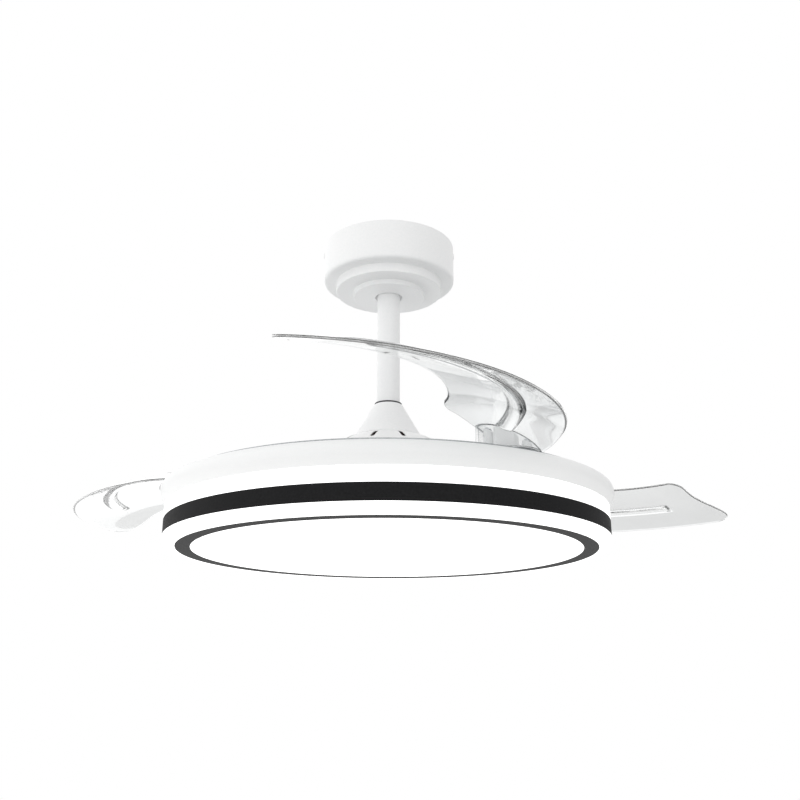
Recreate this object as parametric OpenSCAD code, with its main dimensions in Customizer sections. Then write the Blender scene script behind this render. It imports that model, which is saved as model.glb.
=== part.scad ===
// Ceiling fan whose three clear blades fold in over a round lamp body.
// Origin: centre of the bracket's ceiling face. +Z up, seen from the front along +Y.
// Each blade is drawn folded, lying round the fan's axis, and then swung open about its pivot.

/* [Ceiling bracket] */
// Thickness of the bracket's steel sheet
bracket_t = 2.5; // [2:0.1:3]
// Half length of the top plate
bracket_half = 76; // [70:1:76]
// Width of the top plate
bracket_w = 36; // [32:1:44]
// Distance between the two ceiling slots
slot_spacing = 104; // [96:1:108]
// Width of a ceiling slot
slot_w = 5.5; // [4.5:0.5:6.5]
// Length of a ceiling slot from end to end
slot_len = 16; // [12:1:20]
// Radius of the hole that the house cable comes through
cable_hole_r = 10; // [8:0.5:12]
// Depth of the tabs that take the canopy screws
tab_h = 16; // [14:1:20]
// Radius of the hanger ball
ball_r = 23; // [22:0.5:25]
// Distance from the ceiling to the ball's centre
ball_drop = 26; // [26:0.5:28]
// Gap between the ball and its seat
seat_gap = 0.2; // [0.1:0.05:0.3]
// Diameter of the pin through the ball and the rod
ball_pin_d = 8; // [6:1:9]

/* [Canopy] */
// Radius of the drum
canopy_r = 80.2; // [80:0.1:84]
// Height of the drum
canopy_h = 48.1; // [47:0.1:54]
// Radius of the first step
step1_r = 64.7; // [58:0.1:68]
// Height of the first step
step1_h = 11.3; // [8:0.1:13]
// Radius of the second step
step2_r = 43.6; // [36:0.1:50]
// Height of the second step
step2_h = 6.3; // [5:0.1:8]
// Thickness of the canopy's wall
canopy_t = 1.6; // [1:0.1:2]
// Fillet at the drum's lower edge
canopy_fillet = 5; // [3:0.5:7]
// Radius of the hole that the rod swings in
rod_hole_r = 16.5; // [16.5:0.1:19]

/* [Rod and coupling cover] */
// Radius of the down rod
rod_r = 13.8; // [13:0.1:14]
// Wall of the down rod
rod_wall = 2; // [1.5:0.1:3]
// Distance from the ceiling to the top of the coupling cover
cover_drop = 204; // [180:1:400]
// Height of the coupling cover
cover_h = 38; // [36:0.5:44]
// Outer radius of the cover's top
cover_top_r = 16.7; // [16.5:0.1:18]
// Outer radius of the cover's bottom
cover_bottom_r = 37.7; // [36:0.1:38.5]
// Wall of the coupling cover
cover_t = 1.6; // [1.2:0.1:2]
// Height of the seal ring above the cover
seal_h = 1.8; // [1:0.1:3]
// Diameter of the bolt through the yoke and the rod
yoke_bolt_d = 6; // [5:0.5:8]

/* [Motor] */
// Running gap between the still coupling cover and the turning motor cover
spin_gap = 3; // [2:0.5:4]
// Height of the motor from its cover's top to the blade carrier
motor_h = 64; // [63:0.5:70]
// Outer radius of the motor case
motor_r = 76; // [74:0.5:80]
// Wall of the motor case
motor_t = 2.5; // [2:0.1:3]
// Radius where the motor cover's flat top ends
dome_top_r = 41; // [40:0.5:43]
// Height that the motor cover's dome falls by
dome_h = 19; // [16:0.5:20]
// Number of cooling slots
vent_count = 12; // [8:1:16]
// Width of a cooling slot
vent_w = 5; // [3:0.5:6]
// Radius of the fixed shaft
shaft_r = 8.5; // [8:0.5:9]
// Radius of the shaft's cable bore
shaft_bore_r = 4.5; // [4:0.1:5]
// Outer radius of a motor bearing
bearing_r = 20; // [18:0.5:21]
// Width of a motor bearing
bearing_w = 12; // [10:0.5:12]
// Outer radius of the stator's teeth
stator_r = 62; // [60:0.5:63]
// Height of the stator stack
stator_h = 20; // [16:0.5:20]
// Number of stator teeth
stator_teeth = 12; // [9:3:15]
// Number of magnets in the rotor
magnet_count = 16; // [12:2:20]
// Radial thickness of a magnet
magnet_t = 4; // [3:0.5:4.5]
// Air gap between the stator and the magnets
air_gap = 1; // [0.6:0.1:1.5]

/* [Blade mechanism] */
// Angle that each blade folds through
fold_deg = 72; // [60:1:75]
// Direction of the first blade's pivot as the rotor stands
rotor_turn = -57.6; // [-90:0.1:30]
// Gear module of the blade gears and the ring
gear_m = 2; // [1.9:0.1:2]
// Teeth of a whole blade gear
blade_teeth = 36; // [30:1:38]
// Teeth of the whole ring gear, a multiple of the number of blades
ring_teeth = 180; // [177:3:183]
// Thickness of the ring gear
ring_t = 3.8; // [3:0.1:4]
// Running gap under the gears
gear_gap = 0.4; // [0.2:0.1:0.5]
// Thinning of each tooth, which gives the mesh its play
backlash = 0.2; // [0.15:0.05:0.3]
// Thickness of the blade carrier
carrier_t = 2.5; // [2:0.1:3]
// Width of the carrier outside the pivots
carrier_rim = 26; // [20:1:28]
// Radius of the pivot bolt's shoulder
pivot_r = 4; // [3.5:0.5:4.5]
// Wall of the pivot bush
bush_t = 2; // [1.5:0.5:2]
// Radial clearance of the bush on the bolt and of the bearings on the shaft
run_gap = 0.05; // [0.02:0.01:0.08]
// Radius of a return spring's wire
spring_wire_r = 0.8; // [0.6:0.1:0.9]
// Turns of a return spring
spring_turns = 4; // [3:1:5]

/* [Blades] */
// Distance from a blade's pivot to its outer edge when folded
edge_past_pivot = 39.2; // [38:0.1:40]
// Width of a blade
blade_w = 106.2; // [100:0.1:110]
// Angle from the pivot to the tip
tip_deg = 99.9; // [94:0.1:103]
// Distance from the pivot to each of the root end's two straight sides
root_past_pivot = 30.5; // [29:0.1:31]
// Thickness of the blade
blade_t = 2; // [1.6:0.1:3]
// Height of the outer edge over the blade carrier
edge_lift = 2.8; // [2.5:0.1:4]
// Rise of the blade per millimetre inwards, at its outer edge
pitch_low = 0.5; // [0.45:0.01:0.52]
// Loss of that rise per millimetre, which arches the blade
arch = 0.0014; // [0.001:0.0001:0.0016]
// Rise of the whole blade from its middle to its root
edge_rise = 1.9; // [1:0.1:3]
// Radius of the leaf-shaped holder
leaf_r = 34; // [33:0.5:35]
// Thickness of the clear skirt round the holder
skirt_t = 2.5; // [2:0.1:3]
// Height of the holder that the skirt leaves bare
skirt_lift = 0.5; // [0.4:0.1:3]
// Depth of the rib under the blade
rib_h = 3; // [2:0.1:4]
// Width of the rib
rib_w = 14; // [10:0.5:16]

/* [Lamp body] */
// Height of the blade carrier over the tray's rim
rim_drop = 3; // [2:0.1:4]
// Outer radius of the light guide, the band and the shade
band_r = 250; // [248:0.1:252]
// How far the tray's rim stands out past the light guide
tray_flare = 5.8; // [5:0.1:8]
// Height of the tray
tray_h = 24; // [22:0.5:30]
// Wall of the tray
tray_t = 2.5; // [2:0.1:3]
// Depth from the tray's rim down to its floor
tray_depth = 8; // [8:0.5:10]
// Height of the light guide
guide_h = 15.8; // [12:0.1:20]
// Height of the black band
band_h = 17.3; // [12:0.1:22]
// Thickness of the black band
band_t = 1.5; // [1:0.1:2]
// Height of the shade under the band
shade_h = 10.3; // [9:0.1:14]
// Wall of the light guide and the shade
acrylic_t = 6; // [5:0.5:7]
// Fillet at the shade's lower edge
shade_fillet = 7; // [4:0.5:8]
// Distance from the band's outer face in to the bottom trim
trim_inset = 15.8; // [14:0.1:20]
// Width of the bottom trim
trim_w = 12.8; // [10:0.1:16]
// Thickness of the bottom trim
trim_t = 3; // [2:0.1:4]
// Thickness of the diffuser
diffuser_t = 2.5; // [2:0.1:3]
// Thickness of the diffuser's ledge
ledge_t = 1.5; // [1.2:0.1:2]
// Radius of the round circuit board
board_r = 205; // [190:1:210]
// Thickness of the lamp pan
pan_t = 1.5; // [1:0.1:2]
// Radius of the supply cable
cable_r = 2.2; // [1.6:0.1:2.4]

/* [Hidden] */
$fn = 96;
BLADES = 3;

white = "#f2f3f3";
steel = "#b9bcc0";
zinc = "#c9ccd0";
black = "#2a2a2b";
clear = [0.88, 0.92, 0.94, 0.45];
acrylic = [1, 1, 1, 0.9];
eps = 0.01;

// Heights, worked down from the ceiling
z_ball = -ball_drop;
z_cover_top = -cover_drop;
z_cover_bottom = z_cover_top - cover_h;
z_motor = z_cover_bottom - spin_gap;
z_dome_low = z_motor - dome_h;
z_carrier = z_motor - motor_h;
z_rim = z_carrier - rim_drop;
z_floor = z_rim - tray_depth;
z_tray_low = z_rim - tray_h;
z_guide_low = z_tray_low - guide_h;
z_band_low = z_guide_low - band_h;
z_bottom = z_band_low - shade_h;
z_pan = z_guide_low;

// Canopy and bracket
screw_gap = 0.3;
canopy_in_r = canopy_r - canopy_t;
z_step1 = -canopy_h;
z_step2 = z_step1 - step1_h;
z_canopy_low = z_step2 - step2_h;
z_canopy_screw = -tab_h / 2 - bracket_t / 2;
seat_r = ball_r + seat_gap;
leg_in = seat_r + 6;
z_flange = z_ball - 6;
block_w = 9;

// Rod, yoke and shaft
rod_top = z_ball + 12;
rod_bore_r = rod_r - rod_wall;
rod_bottom = z_cover_bottom + 6;
yoke_r = rod_r + 3.7;
yoke_top = z_cover_top - 10;
yoke_floor = 5;
z_yoke_bolt = yoke_top - yoke_bolt_d / 2 - 4;
yoke_low = rod_bottom - yoke_floor;
yoke_bolt_half = yoke_r + 4.5;

// Motor
bearing_hub_r = bearing_r + 4;
z_bearing_up = z_motor - motor_t;
z_bearing_low = z_carrier + 1.5;
flange_r = motor_r + 8;
flange_t = 2;
z_split = (z_dome_low + z_carrier) / 2;
z_stator = z_split - stator_h / 2 + 2;
stator_hub_r = 28;
tooth_w = 9;
coil_w = 4;
magnet_in_r = stator_r + air_gap;
flux_in_r = magnet_in_r + magnet_t;
flux_out_r = motor_r - motor_t;
vent_in = dome_top_r + 2;
vent_out = motor_r - 13;

// Gears and pivots
axis_r = gear_m * (blade_teeth + ring_teeth) / 2;
fold_r = axis_r + edge_past_pivot;
fold_in_r = fold_r - blade_w;
blade_pitch_r = gear_m * blade_teeth / 2;
ring_pitch_r = gear_m * ring_teeth / 2;
pressure = 20;
dedendum = 1.25 * gear_m;
z_gear = z_carrier + gear_gap;
z_ring_top = z_gear + ring_t;
z_leaf = z_ring_top + 0.5;
ring_swing = fold_deg * blade_teeth / ring_teeth;
ring_body_r = ring_pitch_r - 8;
ring_in_r = ring_body_r - 22;
bush_r = pivot_r + run_gap + bush_t;
spring_r = bush_r + 2.2;
spring_room = spring_wire_r + 0.6;
spring_pitch = 2 * spring_wire_r + 0.5;
spring_h = spring_turns * spring_pitch + 2 * spring_wire_r;
carrier_r = axis_r + carrier_rim;
stop_r = 4;
stop_gap = 0.3;
stop_at = (ring_in_r + ring_body_r) / 2;
guide_r = 6;
guide_gap = 0.3;
guide_at = ring_in_r - guide_r - guide_gap;

// Blade surface
leaf_out = 9.5;
leaf_back = 19;
leaf_inset = 1.5;
leaf_span = 3 * leaf_r;
// Directions square to the root end's two straight sides, from the pivot
root_sides = [113.7, 42.7];
wave_deg = 1.5;
rise_from = 190;
rise_over = 100;
flat_deg = 18;
pad_flat = 36;
pad_blend = 106;
z_edge = z_carrier + edge_lift;
z_pad = z_edge + rise(edge_past_pivot) + edge_rise;
pad_slope = rise(edge_past_pivot) / edge_past_pivot;
rib_in = 4.5;
rib_mid_r = axis_r - rib_in;
rib_from = asin((sqrt(pow(leaf_r, 2) - pow(leaf_out + rib_in, 2)) - leaf_back - skirt_t / 2) / axis_r);
rib_to = 83;
blade_rows = 36;
blade_cols = 14;
rib_rings = 28;
holder_hub_r = spring_r + spring_room + 2.5;
holder_boss_r = 5;
holder_floor = 2;
bolt_head_h = 4;
z_bolt_head = z_pad - blade_t / 2 - bolt_head_h - 5;
// Screws of a holder, as offsets from the pivot: outwards and back towards the root end
blade_screw_at = [[-12, 17], [12, 17], [21, -3]];
blade_screw_r = 2;
blade_screw_l = 8;
blade_screw_room = blade_screw_l + 1;

// Lamp
cable_end_y = -38;
cable_sides = 10;
cable_bend = 10;
cable_beside = ball_pin_d / 2 + cable_r + 0.5;
cable_inside = shaft_bore_r - cable_r - 0.3;
lamp_carrier_r = 120;
lamp_carrier_t = 2.5;
z_nut = z_floor - tray_t - 0.5;
z_shaft_low = z_nut - 10;
post_r = 6;
post_at = 165;
post_count = 6;
tray_rim_r = band_r + tray_flare;
trim_r = band_r - trim_inset;
acrylic_in_r = band_r - acrylic_t;
trim_in_r = trim_r - trim_w;
pan_rim_h = 12;
pan_r = acrylic_in_r - 3;
board_t = 1.6;
chip_size = [3.5, 2.8, 0.8];
// Rings of lamps on the board: radius and count
led_rings = [[80, 18], [130, 24], [180, 30]];
// Boxes on the tray's floor, their lids and their fixing ears
driver_size = [118, 42, 20];
driver_y = 36;
receiver_size = [86, 40, 25];
box_lid = 1.5;
box_ear = [6, 12, 2];

// ---------- helpers ----------

// Points of an arc about c from angle a to angle b
function arc(c, r, a, b, n = 6) = [for (i = [0:n]) c + r * dir(a + (b - a) * i / n)];
function dir(a) = [cos(a), sin(a)];
function smooth(t) = let (c = max(0, min(1, t))) c * c * (3 - 2 * c);

// Copies its children round the axis, first one at angle from
module ring_of(count, from = 0) {
    for (i = [0:count - 1]) rotate([0, 0, from + i * 360 / count]) children();
}

module tube(r_out, r_in, z_low, h) {
    translate([0, 0, z_low]) difference() {
        cylinder(r = r_out, h = h);
        translate([0, 0, -1]) cylinder(r = r_in, h = h + 2);
    }
}

// Round-headed screw along -Z, its head's seat at the origin
module screw(r, length, head_r, head_h) {
    translate([0, 0, -length]) cylinder(r = r, h = length + eps);
    cylinder(r = head_r, h = head_h);
}

// Puts children at each blade's pivot, X pointing away from the fan's axis
module at_pivots() {
    ring_of(BLADES, rotor_turn) translate([axis_r, 0, 0]) children();
}

// Carries blade i from its folded place to the open one
module opened(i) {
    rotate([0, 0, rotor_turn + (i - 1) * 360 / BLADES])
        translate([axis_r, 0, 0]) rotate([0, 0, fold_deg]) translate([-axis_r, 0, 0]) children();
}

// ---------- ceiling side ----------

module slot_cut(width, length, depth) {
    for (s = [-1, 1]) translate([s * (length - width) / 2, 0, -1]) cylinder(d = width, h = depth + 2);
    translate([-(length - width) / 2, -width / 2, -1]) cube([length - width, width, depth + 2]);
}

// Bent steel sheet: plate, two legs, a flange with the ball seat and two tabs for the canopy
module hanger_bracket() {
    color(zinc) difference() {
        union() {
            translate([-bracket_half, -bracket_w / 2, -bracket_t])
                cube([2 * bracket_half, bracket_w, bracket_t]);
            for (s = [-1, 1]) {
                translate([s * (leg_in + bracket_t / 2), 0, z_flange / 2 - 1])
                    cube([bracket_t, bracket_w, -z_flange + 2 - bracket_t], center = true);
                translate([s * (bracket_half - bracket_t / 2), 0, -tab_h / 2])
                    cube([bracket_t, 20, tab_h], center = true);
            }
            translate([-leg_in - bracket_t, -bracket_w / 2, z_flange - bracket_t])
                cube([2 * (leg_in + bracket_t), bracket_w, bracket_t]);
            translate([0, 0, z_flange - 9]) cylinder(r = seat_r + bracket_t, h = 9);
        }
        translate([0, 0, z_ball]) sphere(r = seat_r);
        translate([0, 0, z_flange - 10]) cylinder(r = rod_hole_r, h = 10);
        translate([-rod_r - 1, 0, z_flange - 10]) cube([2 * rod_r + 2, bracket_w, 11]);
        translate([0, 0, -bracket_t - 1]) cylinder(r = cable_hole_r, h = bracket_t + 2);
        for (s = [-1, 1]) {
            translate([s * slot_spacing / 2, 0, -bracket_t]) slot_cut(slot_w, slot_len, bracket_t);
            translate([s * (bracket_half - bracket_t - 1), 0, z_canopy_screw]) rotate([0, s * 90, 0])
                cylinder(r = 2, h = bracket_t + 2);
        }
    }
}

module canopy() {
    outer = concat(
        arc([canopy_r - 1.5, -1.5], 1.5, 90, 0, 4),
        arc([canopy_r - canopy_fillet, z_step1 + canopy_fillet], canopy_fillet, 0, -90),
        [[step1_r, z_step1]],
        arc([step1_r - 1.5, z_step2 + 1.5], 1.5, 0, -90, 3),
        [[step2_r, z_step2]],
        arc([step2_r - 1.5, z_canopy_low + 1.5], 1.5, 0, -90, 3),
        [[rod_hole_r, z_canopy_low]]);
    inner = concat(
        [[rod_hole_r, z_canopy_low + canopy_t], [step2_r - canopy_t, z_canopy_low + canopy_t],
         [step2_r - canopy_t, z_step2 + canopy_t], [step1_r - canopy_t, z_step2 + canopy_t],
         [step1_r - canopy_t, z_step1 + canopy_t]],
        arc([canopy_r - canopy_fillet, z_step1 + canopy_fillet], canopy_fillet - canopy_t, -90, 0),
        [[canopy_in_r, 0]]);
    color(white) difference() {
        rotate_extrude() polygon(concat(outer, inner));
        for (s = [-1, 1]) translate([s * (canopy_r - 6), 0, z_canopy_screw]) rotate([0, s * 90, 0])
            cylinder(r = 2 + screw_gap, h = 10);
    }
}

module canopy_screws() {
    color(zinc) for (s = [-1, 1])
        translate([s * canopy_r, 0, z_canopy_screw]) rotate([0, s * 90, 0])
            screw(1.9, canopy_r - bracket_half + bracket_t + 1, 3.6, 0.8);
}

// Three-way block under the bracket's plate
module terminal_block() {
    color("#e6e2d8") difference() {
        translate([leg_in + bracket_t, -11, -bracket_t - 16]) cube([block_w, 22, 16]);
        for (y = [-7, 0, 7]) {
            translate([leg_in + bracket_t + block_w / 2, y, -bracket_t - 17]) cylinder(r = 2, h = 12);
            translate([leg_in + bracket_t + 2, y, -bracket_t - 9]) rotate([0, 90, 0])
                cylinder(r = 1.8, h = block_w);
        }
    }
}

// ---------- rod and coupling ----------

module hanger_ball() {
    color("#3c3d3f") difference() {
        translate([0, 0, z_ball]) sphere(r = ball_r);
        translate([0, 0, z_ball + 8]) cylinder(r = ball_r, h = ball_r);
        translate([0, 0, z_ball - ball_r - 1]) cylinder(r = rod_r, h = 2 * ball_r + 2);
        translate([0, 0, z_ball]) rotate([0, 90, 0])
            cylinder(d = ball_pin_d, h = 2 * ball_r, center = true);
    }
}

module ball_pin() {
    color(steel) translate([0, 0, z_ball]) rotate([0, 90, 0])
        cylinder(d = ball_pin_d, h = 2 * ball_r - 4, center = true);
}

module downrod() {
    color(white) difference() {
        tube(rod_r, rod_bore_r, rod_bottom, rod_top - rod_bottom);
        translate([0, 0, z_ball]) rotate([0, 90, 0]) cylinder(d = ball_pin_d, h = 60, center = true);
        translate([0, 0, z_yoke_bolt]) rotate([0, 90, 0])
            cylinder(d = yoke_bolt_d, h = 60, center = true);
    }
}

// Dark rubber ring that closes the top of the coupling cover
module rod_seal() {
    color("#5d5f61") tube(cover_top_r - 0.5, rod_r, z_cover_top, seal_h);
}

module coupling_cover() {
    color(white) rotate_extrude() polygon([
        [rod_r + 0.2, z_cover_top], [cover_top_r, z_cover_top], [cover_bottom_r, z_cover_bottom + 1.5],
        [cover_bottom_r, z_cover_bottom], [cover_bottom_r - cover_t, z_cover_bottom],
        [cover_bottom_r - cover_t, z_cover_bottom + 1.5], [cover_top_r, z_cover_top - cover_t],
        [rod_r + 0.2, z_cover_top - cover_t]]);
}

// Socket that takes the rod above and holds the shaft below
module rod_yoke() {
    color(steel) difference() {
        translate([0, 0, yoke_low]) cylinder(r = yoke_r, h = yoke_top - yoke_low);
        translate([0, 0, rod_bottom]) cylinder(r = rod_r, h = yoke_top - rod_bottom + 1);
        translate([0, 0, yoke_low - 1]) cylinder(r = shaft_r, h = yoke_floor + 2);
        translate([0, 0, z_yoke_bolt]) rotate([0, 90, 0])
            cylinder(d = yoke_bolt_d, h = 60, center = true);
    }
}

// Bolt through yoke and rod, with a spring clip's head at its other end
module yoke_bolt() {
    color(zinc) translate([0, 0, z_yoke_bolt]) rotate([0, 90, 0]) {
        cylinder(d = yoke_bolt_d, h = 2 * yoke_r + 2 * eps, center = true);
        translate([0, 0, yoke_r]) cylinder(r = yoke_bolt_d / 2 + 2, h = yoke_bolt_half - yoke_r);
        translate([0, 0, -yoke_bolt_half])
            cylinder(r = yoke_bolt_d / 2 + 2, h = yoke_bolt_half - yoke_r, $fn = 6);
    }
}

// ---------- motor ----------

// Hollow shaft that the motor turns on and the lamp hangs from
module motor_shaft() {
    color(steel) tube(shaft_r, shaft_bore_r, z_shaft_low, rod_bottom - z_shaft_low);
}

module stator_core() {
    color("#7b7f86") translate([0, 0, z_stator]) difference() {
        union() {
            cylinder(r = stator_hub_r, h = stator_h);
            ring_of(stator_teeth) {
                translate([stator_hub_r - 3, -tooth_w / 2, 0])
                    cube([stator_r - stator_hub_r, tooth_w, stator_h]);
                intersection() {
                    difference() {
                        cylinder(r = stator_r, h = stator_h);
                        translate([0, 0, -1]) cylinder(r = stator_r - 4, h = stator_h + 2);
                    }
                    translate([0, -11, 0]) cube([stator_r + 1, 22, stator_h]);
                }
            }
        }
        translate([0, 0, -1]) cylinder(r = shaft_r, h = stator_h + 2);
    }
}

// One copper coil round each tooth
module stator_windings() {
    coil_from = stator_hub_r + 6;
    coil_len = stator_r - 4 - 1.5 - coil_from;
    color("#b06a36") translate([0, 0, z_stator]) ring_of(stator_teeth) translate([coil_from, 0, 0])
        difference() {
            translate([0, -tooth_w / 2 - coil_w * 0.8, -coil_w])
                cube([coil_len, tooth_w + coil_w * 1.6, stator_h + 2 * coil_w]);
            translate([-1, -tooth_w / 2, 0]) cube([coil_len + 2, tooth_w, stator_h]);
        }
}

// Upper half of the motor case: a shallow dome with a ring of cooling slots
module motor_cover() {
    top_in = cover_bottom_r - 12;
    color(white) difference() {
        union() {
            rotate_extrude() polygon(concat(
                [[top_in, z_motor - motor_t], [top_in, z_motor - 1], [dome_top_r - 2.5, z_motor - 1],
                 [dome_top_r - 2.5, z_motor], [dome_top_r, z_motor]],
                [for (i = [0:8]) dome_point(i / 8)],
                [[motor_r, z_split + flange_t], [flange_r, z_split + flange_t], [flange_r, z_split],
                 [motor_r - motor_t, z_split]],
                [for (i = [8:-1:0]) dome_point(i / 8) - [motor_t * i / 8, motor_t]]));
            tube(bearing_hub_r + 2, bearing_r, z_bearing_up - bearing_w, bearing_w);
            tube(bearing_hub_r + 2, shaft_r + 2, z_bearing_up, motor_t - 1);
        }
        ring_of(vent_count, -90 + 180 / vent_count)
            translate([(vent_in + vent_out) / 2, 0, z_dome_low]) slot_cut(vent_w, vent_out - vent_in, dome_h);
        ring_of(6, 30) translate([motor_r + 4, 0, z_split - 1]) cylinder(r = 2 + screw_gap, h = flange_t + 2);
    }
}
// Dome from its flat top, at t = 0, to the case wall, at t = 1
function dome_point(t) = [dome_top_r + (motor_r - dome_top_r) * t, z_motor - 1 - (dome_h - 1) * pow(t, 1.4)];

module rotor_case() {
    color("#d9dbdc") difference() {
        union() {
            rotate_extrude() polygon([
                [bearing_hub_r - 5, z_carrier], [motor_r, z_carrier], [motor_r, z_split - flange_t],
                [flange_r, z_split - flange_t], [flange_r, z_split], [motor_r - motor_t, z_split],
                [motor_r - motor_t, z_carrier + motor_t], [bearing_hub_r - 5, z_carrier + motor_t]]);
            tube(bearing_hub_r, bearing_r, z_bearing_low, bearing_w);
        }
        translate([0, 0, z_bearing_low]) cylinder(r = bearing_r, h = bearing_w + 1);
        ring_of(6, 30) translate([motor_r + 4, 0, z_split - flange_t - 1]) cylinder(r = 2, h = flange_t + 2);
        ring_of(6) translate([motor_r - 12, 0, z_carrier - 1]) cylinder(r = 2.5, h = motor_t + 2);
    }
}

module case_screws() {
    color(zinc) ring_of(6, 30) translate([motor_r + 4, 0, z_split + flange_t])
        screw(2, 2 * flange_t + 1, 3.6, 2);
}

// Two ball bearings, each drawn as its races and shields in one ring
module motor_bearings() {
    color("#9ea2a8") for (z = [z_bearing_up - bearing_w, z_bearing_low]) rotate_extrude() polygon([
        [shaft_r + run_gap, z], [shaft_r + 3, z], [shaft_r + 3, z + 0.6], [bearing_r - 3, z + 0.6],
        [bearing_r - 3, z], [bearing_r, z], [bearing_r, z + bearing_w], [bearing_r - 3, z + bearing_w],
        [bearing_r - 3, z + bearing_w - 0.6], [shaft_r + 3, z + bearing_w - 0.6],
        [shaft_r + 3, z + bearing_w], [shaft_r + run_gap, z + bearing_w]]);
}

// Steel ring that carries the magnets and fits inside the case
module flux_ring() {
    color("#6f737a") tube(flux_out_r, flux_in_r, z_stator, stator_h);
}

module rotor_magnets() {
    step = 360 / magnet_count;
    color("#4a4d52") ring_of(magnet_count) intersection() {
        tube(flux_in_r, magnet_in_r, z_stator, stator_h);
        translate([0, 0, z_stator]) linear_extrude(stator_h)
            polygon([[0, 0], 90 * dir(-step * 0.44), 90 * dir(step * 0.44)]);
    }
}

// ---------- blade carrier and gears ----------

module blade_carrier() {
    color("#e3e5e6") difference() {
        translate([0, 0, z_carrier - carrier_t]) cylinder(r = carrier_r, h = carrier_t);
        translate([0, 0, z_carrier - carrier_t - 1]) {
            cylinder(r = bearing_hub_r - 5, h = carrier_t + 2);
            ring_of(6) translate([motor_r - 12, 0, 0]) cylinder(r = 2.5, h = carrier_t + 2);
            ring_of(6, rotor_turn + 30) translate([(motor_r + guide_at) / 2, 0, 0])
                cylinder(r = 20, h = carrier_t + 2);
            ring_of(BLADES, rotor_turn + 60) translate([axis_r - 8, 0, 0])
                cylinder(r = 24, h = carrier_t + 2);
            ring_of(BLADES, rotor_turn + 30) translate([axis_r + 2, 0, 0])
                cylinder(r = 16, h = carrier_t + 2);
            ring_of(BLADES, rotor_turn - 30) translate([axis_r + 2, 0, 0])
                cylinder(r = 16, h = carrier_t + 2);
            at_pivots() cylinder(r = pivot_r - 1, h = carrier_t + 2);
            ring_of(BLADES, rotor_turn + 60) {
                translate([guide_at, 0, 0]) cylinder(r = 3, h = carrier_t + 2);
                translate([stop_at, 0, 0]) cylinder(r = 2, h = carrier_t + 2);
            }
        }
    }
}

module carrier_bolts() {
    color(zinc) ring_of(6) translate([motor_r - 12, 0, z_carrier - carrier_t]) mirror([0, 0, 1])
        screw(2.5, carrier_t + motor_t + 1, 4.2, 2.2);
}

// Shoulder bolts that the blades swing on
module pivot_bolts() {
    color(steel) at_pivots() {
        translate([0, 0, z_carrier]) cylinder(r = pivot_r, h = z_bolt_head - z_carrier + eps);
        translate([0, 0, z_bolt_head]) cylinder(r = pivot_r + 4, h = bolt_head_h);
        translate([0, 0, z_carrier - carrier_t - 3]) cylinder(r = pivot_r - 1, h = carrier_t + 3 + eps);
    }
}

module pivot_nuts() {
    color(zinc) at_pivots() translate([0, 0, z_carrier - carrier_t - 3]) difference() {
        cylinder(r = pivot_r + 2.5, h = 3, $fn = 6);
        translate([0, 0, -1]) cylinder(r = pivot_r - 1, h = 5);
    }
}

// Coil spring round each pivot, which draws its blade in when the fan stops
module return_springs() {
    steps = spring_turns * 10;
    sides = 6;
    rings = [for (i = [0:steps]) let (
        a = 360 * spring_turns * i / steps,
        z = z_carrier + 0.1 + spring_wire_r + spring_pitch * spring_turns * i / steps)
        [for (k = [0:sides - 1]) let (b = 360 * k / sides, q = spring_r + spring_wire_r * cos(b))
            [q * cos(a), q * sin(a), z + spring_wire_r * sin(b)]]];
    color("#8f949a") at_pivots() polyhedron([for (r = rings) each r], concat(
        [[for (k = [0:sides - 1]) k]],
        [for (i = [0:steps - 1], k = [0:sides - 1]) let (n = (k + 1) % sides)
            each [[i * sides + k, (i + 1) * sides + k, (i + 1) * sides + n],
                  [i * sides + k, (i + 1) * sides + n, i * sides + n]]],
        [[for (k = [sides - 1:-1:0]) steps * sides + k]]));
}

// Headed studs that keep the ring gear centred and down
module ring_guides() {
    color("#f0efe9") ring_of(BLADES, rotor_turn + 60) translate([guide_at, 0, 0]) {
        translate([0, 0, z_carrier]) cylinder(r = guide_r, h = z_ring_top + 0.3 - z_carrier);
        translate([0, 0, z_ring_top + 0.3]) cylinder(r = guide_r + 3, h = 1.8);
        translate([0, 0, z_carrier - carrier_t]) cylinder(r = 3, h = carrier_t + eps);
    }
}

// Rubber-faced studs in the ring's arc slots, which end the blades' travel both ways
module ring_stops() {
    color("#3a3b3d") ring_of(BLADES, rotor_turn + 60) translate([stop_at, 0, 0]) {
        translate([0, 0, z_carrier]) cylinder(r = stop_r, h = z_ring_top - z_carrier);
        translate([0, 0, z_carrier - carrier_t]) cylinder(r = 2, h = carrier_t + eps);
    }
}

// Involute: angle in degrees between base point and the point at radius r
function involute(base, r) = let (a = acos(min(1, base / r))) tan(a) * 180 / PI - a;

// Half the angle of a tooth at radius r, on a gear with the given number of teeth
function half_tooth(teeth, r) = let (
    pitch = gear_m * teeth / 2,
    base = pitch * cos(pressure),
    thin = backlash / 2 / pitch * 180 / PI)
    90 / teeth - thin + involute(base, pitch) - involute(base, max(r, base));

// Outline of one tooth about direction a
function tooth(teeth, a) = let (
    pitch = gear_m * teeth / 2,
    low = pitch - dedendum - 0.6,
    steps = [0, 0.18, 0.4, 0.6, 0.8, 1],
    radii = [for (t = steps) low + (pitch + gear_m - low) * t])
    concat([for (r = radii) r * dir(a - half_tooth(teeth, r))],
           [for (i = [len(radii) - 1:-1:0]) radii[i] * dir(a + half_tooth(teeth, radii[i]))]);

module sector2d(r_out, r_in, from, to) {
    mid = (from + to) / 2;
    intersection() {
        difference() {
            circle(r = r_out);
            circle(r = r_in);
        }
        polygon([[0, 0], 1.5 * r_out * dir(from), 1.7 * r_out * dir(mid), 1.5 * r_out * dir(to)]);
    }
}

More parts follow.
